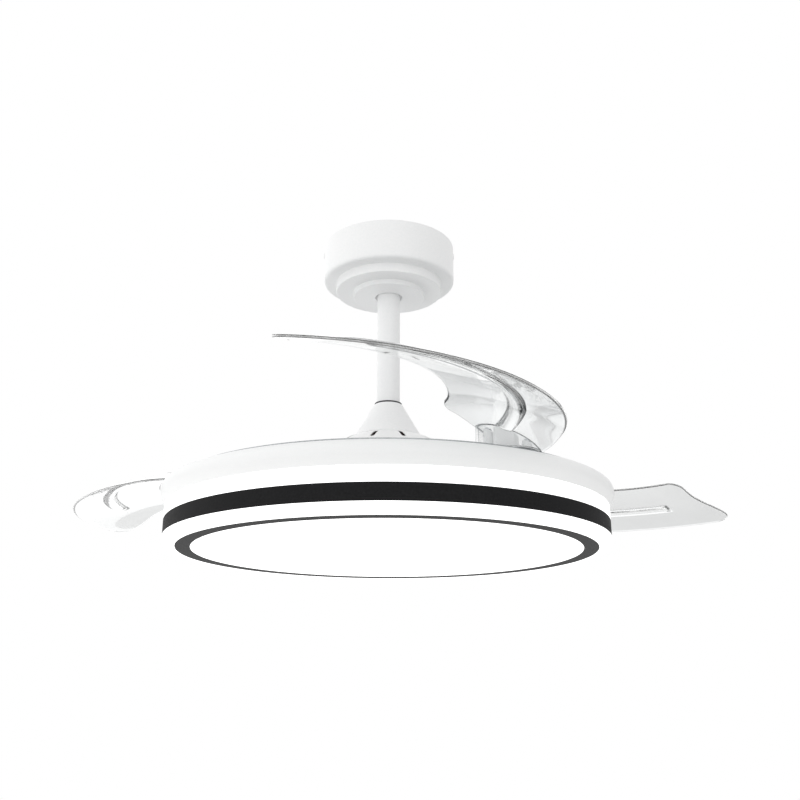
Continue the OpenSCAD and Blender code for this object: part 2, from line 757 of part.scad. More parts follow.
// Toothed ring that makes the blades open and close together
module sync_ring() {
    root_r = ring_pitch_r - dedendum;
    step = 360 / ring_teeth;
    first = -floor(ring_swing / step) - 3;
    slot_r = stop_r + stop_gap;
    slot_half = slot_r - 0.1;
    color("#cfd2d4") translate([0, 0, z_gear]) difference() {
        linear_extrude(ring_t) difference() {
            union() {
                circle(r = ring_body_r);
                ring_of(BLADES, rotor_turn) {
                    sector2d(root_r, ring_in_r, step * (first + 0.1), step * 2.9);
                    for (k = [first:2]) polygon(tooth(ring_teeth, step * (k + 0.5)));
                }
            }
            circle(r = ring_in_r);
        }
        ring_of(BLADES, rotor_turn + 60) {
            for (a = [0, -ring_swing]) rotate([0, 0, a]) translate([stop_at, 0, -1])
                cylinder(r = slot_r, h = ring_t + 2);
            rotate([0, 0, -ring_swing]) rotate_extrude(angle = ring_swing)
                translate([stop_at - slot_half, -1]) square([2 * slot_half, ring_t + 2]);
        }
    }
}

// ---------- blades, drawn folded: pivot on +X, tip towards -Y ----------

// Height that the blade gains at distance d inside its outer edge
function rise(d) = pitch_low * d - arch * d * d;

// Mid-surface height at radius r and angle s behind the pivot's direction: arched across, flat
// across at the tip, and easing into the flat root pad
function blade_z(s, r) = let (
    x = r * cos(s),
    y = -r * sin(s),
    d = fold_r - r,
    chord = d * (pitch_low - arch * blade_w),
    swept = z_edge + rise(d) + (chord - rise(d)) * smooth((s - tip_deg) / flat_deg + 0.9)
        + edge_rise * smooth((rise_from + y) / rise_over),
    pad = z_pad - pad_slope * (x - axis_r),
    away = norm([x - axis_r - leaf_out, y - leaf_back]),
    w = 1 - smooth((away - pad_flat) / (pad_blend - pad_flat)))
    swept + (pad - swept) * w;

// Share of a quarter ellipse still to climb at share t of its length
function corner(t) = let (q = max(0, 1 - t)) 1 - sqrt(1 - q * q);

// Direction, before the pivot's, at which a straight root side crosses radius r
function side_deg(r, turn) =
    turn - acos(max(-1, min(1, (root_past_pivot + axis_r * cos(turn)) / r)));

// Root edge at share v from inner to outer edge: two straight sides and a round inner corner
function root_at(v) = let (
    r = fold_in_r + blade_w * v,
    e = side_deg(r, root_sides[0]),
    c = side_deg(r, root_sides[1]))
    8.5 * corner(v / 0.13) - (e + c - norm([e - c, 1.5])) / 2;

// Tip edge at share v: a shallow wave between two round corners
function tip_at(v) = tip_deg - wave_deg * sin(360 * (v - 0.08))
    - 8 * corner(v / 0.18) - 5.5 * corner((1 - v) / 0.14);

function spread(t) = (1 - cos(180 * t)) / 2;

function blade_point(i, j, side) = let (
    v = spread(j / blade_cols),
    s = root_at(v) + (tip_at(v) - root_at(v)) * spread(i / blade_rows),
    r = fold_in_r + blade_w * v)
    [r * cos(s), -r * sin(s), blade_z(s, r) + side * blade_t / 2];

module blade_sheet() {
    n = blade_cols + 1;
    half = (blade_rows + 1) * n;
    points = [for (side = [-1, 1], i = [0:blade_rows], j = [0:blade_cols]) blade_point(i, j, side)];
    faces = concat(
        [for (i = [0:blade_rows - 1], j = [0:blade_cols - 1]) let (a = i * n + j, b = a + n)
            each [[a, b + 1, a + 1], [a, b, b + 1],
                  [half + a, half + a + 1, half + b + 1], [half + a, half + b + 1, half + b]]],
        [for (i = [0:blade_rows - 1], j = [0, blade_cols]) let (a = i * n + j, b = a + n)
            each j == 0 ? [[a, half + b, b], [a, half + a, half + b]]
                        : [[a, b, half + b], [a, half + b, half + a]]],
        [for (j = [0:blade_cols - 1], i = [0, blade_rows]) let (a = i * n + j, b = a + 1)
            each i == 0 ? [[a, b, half + b], [a, half + b, half + a]]
                        : [[a, half + b, b], [a, half + a, half + b]]]);
    polyhedron(points, faces);
}

// Half-round rib moulded under the blade, from the skirt towards the tip
module blade_rib() {
    sides = 6;
    rings = [for (i = [0:rib_rings]) let (
        t = i / rib_rings,
        s = rib_from + (rib_to - rib_from) * t,
        h = rib_h * min(1, 8 * (1 - t) + 0.25))
        [for (k = [0:sides - 1]) let (
            b = 180 * k / (sides - 1),
            r = rib_mid_r - rib_w / 2 * cos(b))
            [r * cos(s), -r * sin(s), blade_z(s, r) - blade_t / 2 + 0.4 - (h + 0.4) * sin(b)]]];
    polyhedron([for (r = rings) each r], concat(
        [[for (k = [0:sides - 1]) k]],
        [for (i = [0:rib_rings - 1], k = [0:sides - 1]) let (n = (k + 1) % sides)
            each [[i * sides + k, (i + 1) * sides + k, (i + 1) * sides + n],
                  [i * sides + k, (i + 1) * sides + n, i * sides + n]]],
        [[for (k = [sides - 1:-1:0]) rib_rings * sides + k]]));
}

// Plan of the holder, shrunk by inset
module leaf2d(inset) {
    intersection() {
        translate([axis_r + leaf_out, leaf_back]) circle(r = leaf_r - inset);
        circle(r = fold_r - leaf_inset - inset);
        for (turn = root_sides) translate([axis_r, 0]) rotate(turn)
            translate([root_past_pivot - leaf_inset - inset - leaf_span, 0])
                square(2 * leaf_span, center = true);
    }
}

// Everything under the blade's flat root pad, lowered by gap
module under_pad(gap) {
    translate([axis_r, 0, z_pad - blade_t / 2 - gap]) rotate([0, atan(pad_slope), 0])
        translate([-leaf_span, -leaf_span, -leaf_span]) cube([2 * leaf_span, 2 * leaf_span, leaf_span]);
}

// Places children at each blade screw, square to the root pad, on its upper face
module at_blade_screws() {
    for (p = blade_screw_at)
        translate([axis_r + p[0], p[1], z_pad + blade_t / 2 - pad_slope * p[0]])
            rotate([0, atan(pad_slope), 0]) children();
}

module blade(i) {
    color(clear) opened(i) difference() {
        union() {
            blade_sheet();
            blade_rib();
            intersection() {
                translate([0, 0, z_leaf + skirt_lift]) linear_extrude(leaf_span) difference() {
                    leaf2d(0);
                    leaf2d(skirt_t);
                }
                under_pad(-0.2);
            }
        }
        at_blade_screws() translate([0, 0, -blade_screw_room])
            cylinder(r = blade_screw_r + 0.2, h = blade_screw_room + 10);
    }
}

// Holder with the toothed sector that meshes with the ring, bored for its bush: a floor with a
// hub and three bosses that reach up to the root pad
module blade_holder(i) {
    step = 360 / blade_teeth;
    count = ceil(fold_deg / step) + 2;
    color(white) opened(i) difference() {
        union() {
            intersection() {
                translate([0, 0, z_leaf]) {
                    linear_extrude(holder_floor) leaf2d(skirt_t + 0.1);
                    linear_extrude(leaf_span) intersection() {
                        leaf2d(skirt_t + 0.1);
                        translate([axis_r, 0]) {
                            circle(r = holder_hub_r);
                            for (p = blade_screw_at) translate(p) circle(r = holder_boss_r);
                        }
                    }
                }
                under_pad(0.05);
            }
            translate([axis_r, 0, z_gear]) {
                linear_extrude(z_leaf - z_gear) {
                    circle(r = holder_hub_r);
                    rotate([0, 0, 180 - fold_deg]) {
                        sector2d(blade_pitch_r - dedendum, 1, -2.5 * step, (count + 0.5) * step);
                        for (k = [-2:count]) polygon(tooth(blade_teeth, step * k));
                    }
                }
            }
        }
        translate([axis_r, 0, z_gear - 1]) cylinder(r = bush_r, h = leaf_span);
        translate([axis_r, 0, z_bolt_head - 0.3]) cylinder(r = pivot_r + 6, h = leaf_span);
        tube_cut();
        at_blade_screws() translate([0, 0, -blade_screw_room])
            cylinder(r = blade_screw_r, h = blade_screw_room + 10);
    }
}

// Annular room for the return spring in a holder's underside
module tube_cut() {
    translate([axis_r, 0, 0])
        tube(spring_r + spring_room, bush_r + 1, z_gear - 1, spring_h + 1);
}

module pivot_bush(i) {
    color("#b08d57") opened(i) translate([axis_r, 0, 0])
        tube(bush_r, pivot_r + run_gap, z_gear, z_bolt_head - 0.3 - z_gear);
}

module blade_screws(i) {
    color(zinc) opened(i) at_blade_screws() screw(blade_screw_r, blade_screw_l, 3.8, 1.8);
}

// ---------- lamp ----------

// Round steel plate on the shaft that the lamp hangs from
module lamp_carrier() {
    color(zinc) difference() {
        tube(lamp_carrier_r, shaft_r, z_floor, lamp_carrier_t);
        ring_of(6, 15) translate([lamp_carrier_r - 15, 0, z_floor - 1]) cylinder(r = 2.5, h = 5);
        ring_of(6, 45) translate([lamp_carrier_r / 2, 0, z_floor - 1]) cylinder(r = 14, h = 5);
    }
}

module shaft_nut() {
    color(zinc) translate([0, 0, z_nut - 7.5]) difference() {
        cylinder(r = shaft_r + 6, h = 8 + tray_t, $fn = 6);
        translate([0, 0, -1]) cylinder(r = shaft_r, h = 10 + tray_t);
    }
}

module tray_screws() {
    color(zinc) ring_of(6, 15) translate([lamp_carrier_r - 15, 0, z_floor + lamp_carrier_t])
        screw(2.5, lamp_carrier_t + tray_t + 2, 4.2, 2);
}

// Dish above the lamp: soft rim, side drawn in towards the light guide, flat floor
module tray() {
    low_r = band_r - 0.5;
    round_r = 4;
    outer = concat(
        [[tray_rim_r - round_r - 1.5, z_rim]],
        arc([tray_rim_r - round_r, z_rim - round_r], round_r, 90, -12),
        [[low_r + 2.2, z_tray_low + 7], [low_r + 0.6, z_tray_low + 2.5], [low_r, z_tray_low]]);
    inner = [
        [low_r - tray_t, z_tray_low], [low_r - tray_t, z_tray_low + 2.5],
        [tray_rim_r - 2 * tray_t, z_floor - tray_t], [shaft_r + 8, z_floor - tray_t],
        [shaft_r + 8, z_floor], [tray_rim_r - round_r - 5.5, z_floor],
        [tray_rim_r - round_r - 1.5, z_floor + 4]];
    color(white) difference() {
        union() {
            rotate_extrude() polygon(concat(outer, inner));
            ring_of(post_count) translate([post_at, 0, z_pan + pan_t])
                cylinder(r = post_r, h = z_floor - tray_t - z_pan - pan_t + eps);
        }
        ring_of(post_count) translate([post_at, 0, z_pan]) cylinder(r = 1.8, h = 14);
        ring_of(6, 15) translate([lamp_carrier_r - 15, 0, z_floor - tray_t - 1])
            cylinder(r = 2.5, h = tray_t + 2);
    }
}

// Clear-white ring that carries the upper line of light
module light_guide() {
    color(acrylic) rotate_extrude() polygon([
        [band_r - 0.5, z_tray_low], [band_r, z_guide_low], [acrylic_in_r, z_guide_low],
        [acrylic_in_r, z_tray_low]]);
}

module black_band() {
    color(black) tube(band_r, band_r - band_t, z_band_low, band_h);
}

// Opal ring behind and below the band, which turns in under the lamp
module shade_ring() {
    back_r = band_r - band_t;
    color(acrylic) rotate_extrude() polygon(concat(
        [[acrylic_in_r, z_guide_low - pan_t], [acrylic_in_r, z_guide_low], [back_r, z_guide_low],
         [back_r, z_band_low], [band_r, z_band_low]],
        arc([band_r - shade_fillet, z_bottom + shade_fillet], shade_fillet, 0, -90, 8),
        [[trim_r, z_bottom], [trim_r, z_bottom + trim_t], [trim_r - 3, z_bottom + trim_t],
         [trim_r - 3, z_bottom + trim_t + 2.5], [acrylic_in_r, z_bottom + trim_t + 2.5 + shade_fillet]]));
}

// Dark ring round the diffuser, with a ledge that carries it
module bottom_trim() {
    color("#565656") rotate_extrude() polygon([
        [trim_in_r, z_bottom], [trim_r, z_bottom], [trim_r, z_bottom + trim_t],
        [trim_in_r, z_bottom + trim_t]]);
}

// Opal plate over the lamp, stepped so that its face lies level with the trim
module diffuser() {
    z_face = z_bottom + 0.3;
    face_r = trim_in_r - 0.1;
    color(acrylic) rotate_extrude() polygon([
        [0, z_face], [face_r, z_face], [face_r, z_bottom + trim_t], [trim_in_r + 8, z_bottom + trim_t],
        [trim_in_r + 8, z_bottom + trim_t + ledge_t],
        [face_r - diffuser_t, z_bottom + trim_t + ledge_t],
        [face_r - diffuser_t, z_face + diffuser_t], [0, z_face + diffuser_t]]);
}

// Steel pan across the body, which carries the board below and the strip round its rim
module lamp_pan() {
    color("#eceeef") difference() {
        union() {
            tube(acrylic_in_r - 0.2, 16, z_pan, pan_t);
            tube(pan_r, pan_r - pan_t, z_pan, pan_t + pan_rim_h);
        }
        ring_of(post_count) translate([post_at, 0, z_pan - 1]) cylinder(r = 2.1, h = pan_t + 2);
        translate([0, 0, z_pan - 1]) ring_of(3, 20) translate([30, 0, 0]) cylinder(r = 4, h = pan_t + 2);
    }
}

module pan_screws() {
    color(zinc) ring_of(post_count) translate([post_at, 0, z_pan]) mirror([0, 0, 1])
        screw(1.8, pan_t + 8, 3.6, 2);
}

module led_board() {
    color("#f4f5f5") difference() {
        tube(board_r, 16, z_pan - board_t, board_t);
        ring_of(post_count) translate([post_at, 0, z_pan - board_t - 1])
            cylinder(r = 4.2, h = board_t + 2);
    }
}

module led_chips() {
    color("#f3e9a8") for (ring = led_rings) ring_of(ring[1], 90 / ring[1])
        translate([ring[0] - chip_size[0] / 2, -chip_size[1] / 2, z_pan - board_t - chip_size[2]])
            cube(chip_size);
}

// Flexible strip of lamps that shines into the light guide
module rim_led_strip() {
    color("#f7f3d8") tube(pan_r + 1, pan_r, z_pan + pan_t + 1, pan_rim_h - 2);
}

// Box on the tray's floor, seen from below, with a ribbed lid
module floor_box(size, at, lid) {
    translate([at[0], at[1], z_floor - tray_t - size[2]]) {
        cube(size);
        for (x = [-box_ear[0], size[0]])
            translate([x, (size[1] - box_ear[1]) / 2, size[2] - box_ear[2]]) cube(box_ear);
        translate([4, 4, -lid]) cube([size[0] - 8, size[1] - 8, lid + eps]);
    }
}

module led_driver() {
    color("#eeeeea") floor_box(driver_size, [-driver_size[0] / 2, driver_y], box_lid);
}

module receiver_box() {
    color("#e9ebec") floor_box(
        receiver_size, [-receiver_size[0] / 2, cable_end_y - receiver_size[1]], box_lid);
}

// Ring of the cable's skin: p is its centre and a its direction's angle, both in the YZ plane
function cable_ring(p, a) = [for (k = [0:cable_sides - 1]) let (b = 360 * k / cable_sides)
    [cable_r * cos(b), p[0] - cable_r * sin(b) * sin(a), p[1] + cable_r * sin(b) * cos(a)]];

// Lead that passes behind the two pins in the rod, runs down the shaft and turns to the receiver
module supply_cable() {
    knee = [cable_beside, z_yoke_bolt - yoke_bolt_d / 2 - cable_r];
    throat = [cable_inside, rod_bottom + 1];
    lean = atan2(throat[1] - knee[1], throat[0] - knee[0]);
    turn = [cable_inside - cable_bend, z_shaft_low];
    rings = concat(
        [cable_ring([cable_beside, rod_top + 2], -90), cable_ring(knee, (lean - 90) / 2),
         cable_ring(throat, (lean - 90) / 2)],
        [for (a = [0:-15:-90]) cable_ring(turn + cable_bend * dir(a), a - 90)],
        [cable_ring([cable_end_y, z_shaft_low - cable_bend], -180)]);
    n = cable_sides;
    color("#2f3031") polyhedron([for (r = rings) each r], concat(
        [[for (k = [0:n - 1]) k]],
        [for (i = [0:len(rings) - 2], k = [0:n - 1]) let (m = (k + 1) % n)
            each [[i * n + k, (i + 1) * n + k, (i + 1) * n + m], [i * n + k, (i + 1) * n + m, i * n + m]]],
        [[for (k = [n - 1:-1:0]) (len(rings) - 1) * n + k]]));
}

// Plug at the top of the supply cable, which joins it to the terminal block's leads
module cable_plug() {
    color("#f1efe8") translate([0, cable_beside, rod_top + 2]) {
        translate([-7, -5, 0]) cube([14, 10, 5]);
        translate([-5, -4, 5 - eps]) cube([10, 8, 1.2]);
    }
}

hanger_bracket();
canopy();
canopy_screws();
terminal_block();
hanger_ball();
ball_pin();
downrod();
rod_seal();
coupling_cover();
rod_yoke();
yoke_bolt();
motor_shaft();
stator_core();
stator_windings();
lamp_carrier();
shaft_nut();
tray_screws();
tray();
light_guide();
black_band();
shade_ring();
bottom_trim();
diffuser();
lamp_pan();
led_board();
led_chips();
rim_led_strip();
led_driver();
receiver_box();
supply_cable();
cable_plug();
pan_screws();
motor_cover();
rotor_case();
case_screws();
motor_bearings();
flux_ring();
rotor_magnets();
blade_carrier();
carrier_bolts();
pivot_bolts();
pivot_nuts();
return_springs();
ring_guides();
ring_stops();
sync_ring();
blade(1);  // blade_1
blade(2);  // blade_2
blade(3);  // blade_3
blade_holder(1);  // blade_holder_1
blade_holder(2);  // blade_holder_2
blade_holder(3);  // blade_holder_3
pivot_bush(1);  // pivot_bush_1
pivot_bush(2);  // pivot_bush_2
pivot_bush(3);  // pivot_bush_3
blade_screws(1);  // blade_screws_1
blade_screws(2);  // blade_screws_2
blade_screws(3);  // blade_screws_3
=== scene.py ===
import bpy
import bmesh
import numpy as np
from mathutils import Matrix


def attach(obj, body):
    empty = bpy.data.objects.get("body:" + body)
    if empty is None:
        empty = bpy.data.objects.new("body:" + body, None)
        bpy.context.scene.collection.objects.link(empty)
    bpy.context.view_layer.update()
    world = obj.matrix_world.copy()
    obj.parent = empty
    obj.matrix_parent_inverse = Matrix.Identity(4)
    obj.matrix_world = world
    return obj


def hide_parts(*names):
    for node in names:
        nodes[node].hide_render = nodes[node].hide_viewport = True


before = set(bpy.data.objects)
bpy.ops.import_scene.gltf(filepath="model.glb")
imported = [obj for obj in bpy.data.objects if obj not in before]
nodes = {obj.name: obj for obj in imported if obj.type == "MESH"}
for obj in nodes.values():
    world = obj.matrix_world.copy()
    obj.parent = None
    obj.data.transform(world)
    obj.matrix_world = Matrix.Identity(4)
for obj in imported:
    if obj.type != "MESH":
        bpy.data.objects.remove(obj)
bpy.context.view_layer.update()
MM = 0.001

# ---------- ceiling bracket ----------
# A bent strip of zinc-plated steel, screwed to the ceiling through two slots. It holds the
# moulded terminal block, carries the ball of the rod in its cup, and takes the canopy's side
# screws.


def linear(code):
    """sRGB hex code to linear RGBA: divided by 12.92 below 0.04045, and a power of 2.4 above."""
    c = np.array([int(code[i:i + 2], 16) for i in (1, 3, 5)]) / 255
    return (*np.where(c <= 0.04045, c / 12.92, ((c + 0.055) / 1.055) ** 2.4), 1.0)


def add(owner, kind, fields=None, inputs=None):
    """Adds a node to a material or to the world, sets its fields, and sets or links its inputs
    by name or number."""
    node = owner.node_tree.nodes.new("ShaderNode" + kind)
    for key, value in (fields or {}).items():
        setattr(node, key, value)
    for key, value in (inputs or {}).items():
        if isinstance(value, bpy.types.NodeSocket):
            owner.node_tree.links.new(value, node.inputs[key])
        else:
            node.inputs[key].default_value = value
    return node


def skin(name, dark, light, rough, metal=0.0, grain=1.0, lift=0.01, stretch=(1, 1, 1), **shader):
    """A surface with a fine tooth: noise of that grain in mm, drawn out along an axis by
    stretch, shades from dark to light, moves the roughness by a twentieth either way and lifts
    the surface by lift in mm. shader sets the shader's other sockets."""
    mat = bpy.data.materials.new(name)
    mat.use_nodes = True
    paint = mat.node_tree.nodes["Principled BSDF"]
    place = add(mat, "TexCoord").outputs["Object"]
    scale = [1 / (grain * MM * s) for s in stretch]
    place = add(mat, "Mapping", None, {"Vector": place, "Scale": scale}).outputs["Vector"]
    noise = add(mat, "TexNoise", None, {"Vector": place, "Scale": 1.0, "Detail": 2.0}).outputs["Fac"]
    middle = {"Value": noise, "From Min": 0.3, "From Max": 0.7}
    level = add(mat, "MapRange", None, middle)
    hue = add(mat, "Mix", {"data_type": "RGBA"},
              {"Factor": level.outputs["Result"], "A": linear(dark), "B": linear(light)})
    mat.node_tree.links.new(hue.outputs["Result"], paint.inputs["Base Color"])
    soft = add(mat, "MapRange", None, {**middle, "To Min": rough * 0.95, "To Max": rough * 1.05})
    mat.node_tree.links.new(soft.outputs["Result"], paint.inputs["Roughness"])
    bump = add(mat, "Bump", None, {"Height": noise, "Distance": lift * MM, "Strength": 1.0})
    mat.node_tree.links.new(bump.outputs["Normal"], paint.inputs["Normal"])
    paint.inputs["Metallic"].default_value = metal
    for key, value in shader.items():
        paint.inputs[key.replace("_", " ")].default_value = value
    return mat


def dress(mat, *names):
    """Gives these CAD nodes that material in every slot."""
    for name in names:
        mesh = nodes[name].data
        if not mesh.materials:
            mesh.materials.append(mat)
        for i in range(len(mesh.materials)):
            mesh.materials[i] = mat


# Zinc-plated steel sheet: dull silver with grey spangle some 3 mm across
zinc = skin("zinc_plated_steel", "#a9adb1", "#c9ccd0", 0.38, metal=1.0, grain=3, lift=0.01)
# Turned and polished steel: bright, with fine turning marks round it
steel = skin("bright_steel", "#b4b7bb", "#d2d4d7", 0.22, metal=1.0, grain=0.6, lift=0.004,
             stretch=(1, 1, 0.2))
# Moulded polyamide: white, slightly waxy, with the mould's spark-eroded tooth
polyamide = skin("moulded_polyamide", "#dcdcd6", "#e8e8e3", 0.5, grain=0.8, lift=0.01, IOR=1.53)
dress(zinc, "hanger_bracket")
dress(polyamide, "terminal_block")

# ---------- canopy ----------
# Stepped bell that hides the bracket, spun from 1.6 mm steel sheet and powder-coated white.
# Two coated screws in its sides hold it to the bracket's tabs.

# Satin powder coat: melted powder leaves a faint orange peel, some 2 mm across
powder_white = skin("white_powder_coat", "#f0f1f1", "#f4f4f4", 0.42, grain=2.2, lift=0.012)


def new_piece(name, points, faces, body, *stands_for):
    """A smooth-shaded mesh from points in mm and faces, riding on a body in place of nodes."""
    mesh = bpy.data.meshes.new(name)
    mesh.from_pydata((points.reshape(-1, 3) * MM).tolist(), [], faces.tolist())
    mesh.polygons.foreach_set("use_smooth", np.ones(len(mesh.polygons), bool))
    ob = bpy.data.objects.new(name, mesh)
    bpy.context.scene.collection.objects.link(ob)
    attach(ob, body)
    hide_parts(*stands_for)
    return ob


def quads(index):
    """The quads of a grid of point numbers, as rows of four."""
    return np.stack((index[:-1, :-1], index[:-1, 1:], index[1:, 1:], index[1:, :-1]), -1).reshape(-1, 4)


def rounded(corners, margin=0.3):
    """Closed outline from corners (r, z, fillet) in mm. Each corner becomes the curve
    (1-t)^2 A + 2t(1-t) P + t^2 B, with A and B one fillet away from it. A straight run that has
    room gets a point one margin from either end, which keeps its shading flat."""
    p = np.array([c[:2] for c in corners], float)
    fillet = [c[2] for c in corners]
    t = np.linspace(0, 1, 7)[:, None]
    outline = []
    for i, here in enumerate(p):
        ends = (i - 1, (i + 1) % len(p))
        legs = [p[k] - here for k in ends]
        ways = [leg / np.linalg.norm(leg) for leg in legs]
        curve = here + ((1 - t) ** 2 * ways[0] + t ** 2 * ways[1]) * fillet[i]
        roomy = [np.linalg.norm(leg) > fillet[i] + fillet[k] + 4 * margin for leg, k in zip(legs, ends)]
        if roomy[0]:
            outline.append(curve[0] + margin * ways[0])
        outline.extend(curve)
        if roomy[1]:
            outline.append(curve[-1] + margin * ways[1])
    return np.array(outline)


def turned(corners, steps=240, at=(0, 0)):
    """Points and quads of an outline, drawn clockwise in (r, z), turned about an upright axis."""
    outline = rounded(corners)
    turn = np.linspace(0, 2 * np.pi, steps, endpoint=False)[:, None]
    points = np.stack((at[0] + outline[:, 0] * np.cos(turn), at[1] + outline[:, 0] * np.sin(turn),
                       outline[:, 1] + 0 * turn), -1)
    index = np.arange(points[..., 0].size).reshape(points.shape[:2])
    index = np.vstack((index, index[:1]))
    return points, quads(np.column_stack((index, index[:, :1])))[:, ::-1]


def dressed(mat, slot, name, shape, body, *stands_for):
    """A piece of one material, in place of its CAD nodes. slot is not used."""
    ob = new_piece(name, *shape, body, *stands_for)
    ob.data.materials.append(mat)
    return ob


# Outside from the ceiling down over both steps to the rod's hole, then back up inside
bell = [(80.2, 0, 1.5), (80.2, -48.1, 5), (64.7, -48.1, 0.5), (64.7, -59.4, 1.5), (43.6, -59.4, 0.5),
        (43.6, -65.7, 1.5), (16.5, -65.7, 0.8), (16.5, -64.1, 0.3), (42, -64.1, 0.5), (42, -57.8, 0.5),
        (63.1, -57.8, 0.5), (63.1, -46.5, 0.5), (78.6, -46.5, 3.4), (78.6, 0, 0.4)]
dressed(powder_white, "white_paint", "spun_canopy", turned(bell), "ceiling", "canopy")
dress(powder_white, "canopy_screws")

# ---------- ball, rod and coupling cover ----------
# A nylon ball with a steel pin across it sits in the bracket's cup and holds a welded steel
# tube, coated like the canopy. A spun cone under a rubber ring hides the yoke that joins the
# tube to the motor's shaft.

# Moulded polyamide dyed black: dark grey with a waxy sheen
nylon_black = skin("black_nylon", "#1c1c1d", "#29292b", 0.45, grain=0.9, lift=0.01, IOR=1.53)
# Moulded rubber: charcoal, and nearly matt
rubber = skin("black_rubber", "#26272a", "#303135", 0.7, grain=0.7, lift=0.015, IOR=1.52)
dress(nylon_black, "hanger_ball", "ring_stops")
tube = [(11.8, -14, 0.4), (13.8, -14, 0.4), (13.8, -236, 0.4), (11.8, -236, 0.4)]
seal = [(13.8, -202.2, 0.3), (16.2, -202.2, 0.6), (16.2, -204, 0.3), (13.8, -204, 0.3)]
cone = [(14, -204, 0.5), (16.7, -204, 1.4), (39.2, -243.1, 0.8), (39.2, -244.6, 0.3),
        (37.6, -244.6, 0.3), (37.6, -243.1, 0.5), (16.4, -205.6, 0.5), (14, -205.6, 0.4)]
dressed(powder_white, "white_paint", "welded_tube", turned(tube, 96), "hanging", "downrod")
dressed(rubber, "dark_rubber", "rubber_ring", turned(seal, 96), "hanging", "rod_seal")
dressed(powder_white, "white_paint", "coupling_cone", turned(cone), "hanging", "coupling_cover")
dress(zinc, "rod_yoke", "yoke_bolt", "ball_pin")

# ---------- motor ----------
# Outer-rotor motor: a stack of steel laminations wound with copper stands still on the hollow
# shaft, and the case turns round it on two bearings with the magnets inside its wall. The
# case is cast below and has a slotted, coated cover above.

# Punched silicon steel in a stack: grey, ruled by the 0.5 mm edges of its sheets
lamination = skin("stator_laminations", "#5c6066", "#888c92", 0.45, metal=1.0, grain=1.0,
                  lift=0.03, stretch=(60, 60, 0.5))
# Enamelled copper wire wound side by side: glossy red brown, ruled by its 0.9 mm turns
copper = skin("enamelled_copper_wire", "#8f4a22", "#c87840", 0.3, metal=1.0, grain=0.9,
              lift=0.05, stretch=(30, 30, 1))
# Sintered and ground magnet: dark grey, with a dull gleam
ferrite = skin("sintered_magnet", "#3d3f44", "#4b4e54", 0.5, metal=0.4, grain=1.4, lift=0.01)
# Die-cast aluminium as it leaves the die: soft silver with a fine rough skin
cast = skin("die_cast_aluminium", "#a6a9ab", "#bfc2c4", 0.48, metal=1.0, grain=1.6, lift=0.03)
dress(steel, "motor_shaft", "shaft_nut", "motor_bearings", "flux_ring", "case_screws")
dress(lamination, "stator_core")
dress(copper, "stator_windings")
dress(ferrite, "rotor_magnets")
dress(cast, "rotor_case")


def slotted_cover(slots=12, half=2.5, ends=(44, 70), flat_r=41, wall_r=76):
    """Points and faces of the case's upper half, 18 (q ^ 1.4) mm deep at share q from its flat
    top to its wall: a closed outline turned through one sector for each slot. Columns of points
    crowd up to both edges of the slot in each sector's middle, whose half width is
    sqrt(half^2 - e^2) at e beyond the straight run, and no quad lies between those two."""
    turn = np.linspace(np.pi / 2, 0, 8)
    middle = np.concatenate((ends[0] + half - half * np.sin(turn), np.linspace(47, 67, 15),
                             ends[1] - half + half * np.sin(turn[::-1])))
    across = np.concatenate((np.linspace(flat_r, 43.8, 6), middle, np.linspace(70.2, wall_r, 9)))
    share = (across - flat_r) / (wall_r - flat_r)
    dome = np.column_stack((across, -246 - 18 * share ** 1.4))
    inside = dome - np.column_stack((1.1 * share, 1.1 + 0 * share))
    lip = [(25.7, -247.1), (25.7, -246), (38, -246), (38.5, -245.8), (38.6, -245.2), (38.9, -245),
           (40.5, -245), (40.9, -245.2)]
    flange = [(76, -284.2), (76.3, -284.5), (83.7, -284.5), (84, -284.8), (84, -286.2),
              (83.7, -286.5), (74.9, -286.5)]
    outline = np.concatenate((lip, dome, flange, inside[::-1]))
    beyond = np.maximum(ends[0] + half - outline[:, 0], outline[:, 0] - ends[1] + half)
    wide = np.sqrt(np.maximum(half ** 2 - np.maximum(beyond, 0) ** 2, 0))
    edge = np.arcsin(wide / outline[:, 0])[:, None]
    side = edge + (np.pi / slots - edge) * np.linspace(0, 1, 9) ** 1.3
    sector = np.hstack((-side[:, ::-1], side))
    angle = np.hstack([sector + np.radians(-75 + 360 / slots * k) for k in range(slots)])
    points = np.stack((outline[:, :1] * np.cos(angle), outline[:, :1] * np.sin(angle),
                       outline[:, 1:] + 0 * angle), -1)
    number = np.arange(angle.size).reshape(angle.shape)
    loop = np.vstack((number, number[:1]))
    faces = [quads(loop[:, 9 * j:9 * j + 9])[:, ::-1] for j in range(2 * slots)]
    # The slots' own walls join the outside of the sheet to its inside
    first, n = len(lip), len(dome)
    last = first + n + len(flange)
    for k in range(slots):
        for column, step in ((18 * k + 8, 1), (18 * k + 9, -1)):
            wall = np.stack((number[first:first + n, column], number[last:last + n, column][::-1]))
            opening = np.maximum(wide[first:first + n - 1], wide[first + 1:first + n])
            faces.append(quads(wall)[np.flatnonzero(opening > 0)][:, ::step])
    return points, np.vstack(faces)


def welded(ob):
    """Merges the piece's points that lie on one spot."""
    mesh = bmesh.new()
    mesh.from_mesh(ob.data)
    bmesh.ops.remove_doubles(mesh, verts=mesh.verts, dist=1e-6)
    bmesh.ops.dissolve_degenerate(mesh, edges=mesh.edges, dist=1e-7)
    mesh.to_mesh(ob.data)
    mesh.free()


welded(dressed(powder_white, "white_paint", "slotted_dome", slotted_cover(), "rotor", "motor_cover"))

# ---------- tray ----------
# White dish above the lamp, moulded in ABS with a soft rim. It is screwed to a steel plate on
# the shaft, and six hollow posts under its floor take the lamp pan's screws.

